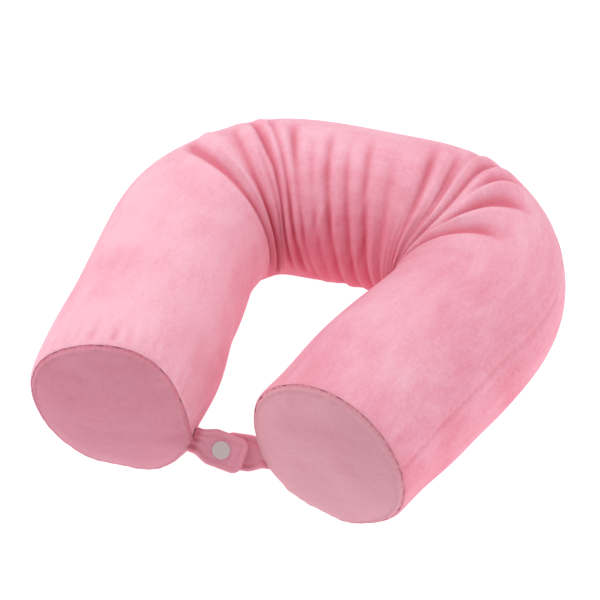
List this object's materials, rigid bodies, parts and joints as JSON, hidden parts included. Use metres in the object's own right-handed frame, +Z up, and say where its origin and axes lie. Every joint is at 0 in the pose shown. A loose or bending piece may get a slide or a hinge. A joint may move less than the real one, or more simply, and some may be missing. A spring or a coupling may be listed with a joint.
{
  "type": "twist neck pillow",
  "caption": "Round memory foam roll in a velour cover, bent into a U round a chain of ball links, with a snap tab at the open ends and a zip along one arm.",
  "frame": {"origin": "on the surface the pillow lies on, under the middle of its outline", "axes": "+Z up, +Y towards the closed back of the U, which opens towards -Y; +X from the left arm to the right arm as seen from the open side"},
  "size_m": [0.3134, 0.3078, 0.109],
  "materials": {
    "cover_velour": "short velour pile",
    "end_velour": "short velour pile",
    "foam": "open-cell memory foam",
    "core_plastic": "satin moulded nylon",
    "tab_fabric": "doubled velour",
    "snap_plastic": "satin resin",
    "snap_metal": "plated",
    "zip_tape": "woven tape",
    "zip_coil": "nylon coil",
    "zip_metal": "enamelled"
  },
  "bodies": {
    "back_middle": {"core_link_08": "core_plastic", "foam_bend_08": "foam", "cover_bend_08": "cover_velour"},
    "left_arm": {"core_end_left": "core_plastic", "core_link_02": "core_plastic", "core_link_03": "core_plastic", "foam_left_arm": "foam", "cover_left_arm": "cover_velour", "end_disc_left": "end_velour", "zip_tape_upper": "zip_tape", "zip_tape_lower": "zip_tape", "zip_coil_upper": "zip_coil", "zip_coil_lower": "zip_coil", "zip_stops": "zip_metal"},
    "bend_04": {"core_link_04": "core_plastic", "foam_bend_04": "foam", "cover_bend_04": "cover_velour"},
    "bend_05": {"core_link_05": "core_plastic", "foam_bend_05": "foam", "cover_bend_05": "cover_velour"},
    "bend_06": {"core_link_06": "core_plastic", "foam_bend_06": "foam", "cover_bend_06": "cover_velour"},
    "bend_07": {"core_link_07": "core_plastic", "foam_bend_07": "foam", "cover_bend_07": "cover_velour"},
    "bend_09": {"core_link_09": "core_plastic", "foam_bend_09": "foam", "cover_bend_09": "cover_velour"},
    "bend_10": {"core_link_10": "core_plastic", "foam_bend_10": "foam", "cover_bend_10": "cover_velour"},
    "bend_11": {"core_link_11": "core_plastic", "foam_bend_11": "foam", "cover_bend_11": "cover_velour"},
    "bend_12": {"core_link_12": "core_plastic", "foam_bend_12": "foam", "cover_bend_12": "cover_velour"},
    "right_arm": {"core_link_13": "core_plastic", "core_link_14": "core_plastic", "core_end_right": "core_plastic", "foam_right_arm": "foam", "cover_right_arm": "cover_velour", "end_disc_right": "end_velour"},
    "left_tab": {"tab_left": "tab_fabric", "snap_cap": "snap_plastic", "snap_socket": "snap_metal"},
    "right_tab": {"tab_right": "tab_fabric", "snap_stud": "snap_metal", "snap_post": "snap_plastic"},
    "zip_slider": {"zip_slider": "zip_metal"},
    "zip_pull": {"zip_pull": "zip_metal"}
  },
  "joints": [
    {"name": "left_curl", "type": "hinge", "parent": "back_middle", "child": "bend_07", "pos_m": [-0.02926, 0.09667, 0.054], "axis": [0, 0, -1], "range_deg": [0, 12], "deforming": ["foam_bend_07", "cover_bend_07", "foam_bend_08", "cover_bend_08"]},
    {"name": "left_bend_6", "type": "hinge", "parent": "bend_07", "child": "bend_06", "pos_m": [-0.0679, 0.08632, 0.054], "axis": [0, 0, -1], "range_deg": [0, 33], "deforming": ["foam_bend_06", "cover_bend_06"]},
    {"name": "left_bend_5", "type": "hinge", "parent": "bend_06", "child": "bend_05", "pos_m": [-0.09466, 0.05659, 0.054], "axis": [0, 0, -1], "range_deg": [0, 33], "deforming": ["foam_bend_05", "cover_bend_05"]},
    {"name": "left_bend_4", "type": "hinge", "parent": "bend_05", "child": "bend_04", "pos_m": [-0.10092, 0.01709, 0.054], "axis": [0, 0, -1], "range_deg": [0, 20], "deforming": ["foam_bend_04", "cover_bend_04"]},
    {"name": "right_curl", "type": "hinge", "parent": "back_middle", "child": "bend_09", "pos_m": [0.01068, 0.09877, 0.054], "axis": [0, 0, 1], "range_deg": [0, 10], "deforming": ["foam_bend_09", "cover_bend_09"]},
    {"name": "right_bend_9", "type": "hinge", "parent": "bend_09", "child": "bend_10", "pos_m": [0.05039, 0.09389, 0.054], "axis": [0, 0, 1], "range_deg": [0, 26], "deforming": ["foam_bend_10", "cover_bend_10"]},
    {"name": "right_bend_10", "type": "hinge", "parent": "bend_10", "child": "bend_11", "pos_m": [0.08393, 0.07211, 0.054], "axis": [0, 0, 1], "range_deg": [0, 34], "deforming": ["foam_bend_11", "cover_bend_11"]},
    {"name": "right_bend_11", "type": "hinge", "parent": "bend_11", "child": "bend_12", "pos_m": [0.09956, 0.03528, 0.054], "axis": [0, 0, 1], "range_deg": [0, 34], "deforming": ["foam_bend_12", "cover_bend_12"]},
    {"name": "left_arm_lift", "type": "hinge", "parent": "bend_04", "child": "left_arm", "pos_m": [-0.09329, -0.02218, 0.054], "axis": [-0.9816, -0.1908, 0], "range_deg": [0, 35], "deforming": ["foam_left_arm", "cover_left_arm"]},
    {"name": "right_arm_twist", "type": "hinge", "parent": "bend_12", "child": "right_arm", "pos_m": [0.09193, -0.00398, 0.054], "axis": [-0.1908, -0.9816, 0], "range_deg": [0, 16], "deforming": ["foam_right_arm", "cover_right_arm"]},
    {"name": "left_tab_peel", "type": "hinge", "parent": "left_arm", "child": "left_tab", "pos_m": [-0.01638, -0.12952, 0.03091], "axis": [0.151, -0.6991, -0.6989], "range_deg": [0, 80]},
    {"name": "right_tab_peel", "type": "hinge", "parent": "right_arm", "child": "right_tab", "pos_m": [0.0179, -0.11172, 0.02051], "axis": [0.151, -0.6991, -0.6989], "range_deg": [0, 45]},
    {"name": "zip_slide", "type": "slide", "parent": "left_arm", "child": "zip_slider", "axis": [-0.1908, 0.9816, 0], "range_m": [0, 0.078]},
    {"name": "zip_pull_swing", "type": "hinge", "parent": "zip_slider", "child": "zip_pull", "pos_m": [-0.12882, -0.13096, 0.05887], "axis": [0.0856, 0.0166, 0.9962], "range_deg": [0, 170]}
  ],
  "couplings": [
    {"joint": "left_bend_6", "follows": "left_curl", "ratio": 2.75},
    {"joint": "left_bend_5", "follows": "left_curl", "ratio": 2.75},
    {"joint": "left_bend_4", "follows": "left_curl", "ratio": 1.6667},
    {"joint": "right_bend_9", "follows": "right_curl", "ratio": 2.6},
    {"joint": "right_bend_10", "follows": "right_curl", "ratio": 3.4},
    {"joint": "right_bend_11", "follows": "right_curl", "ratio": 3.4}
  ]
}
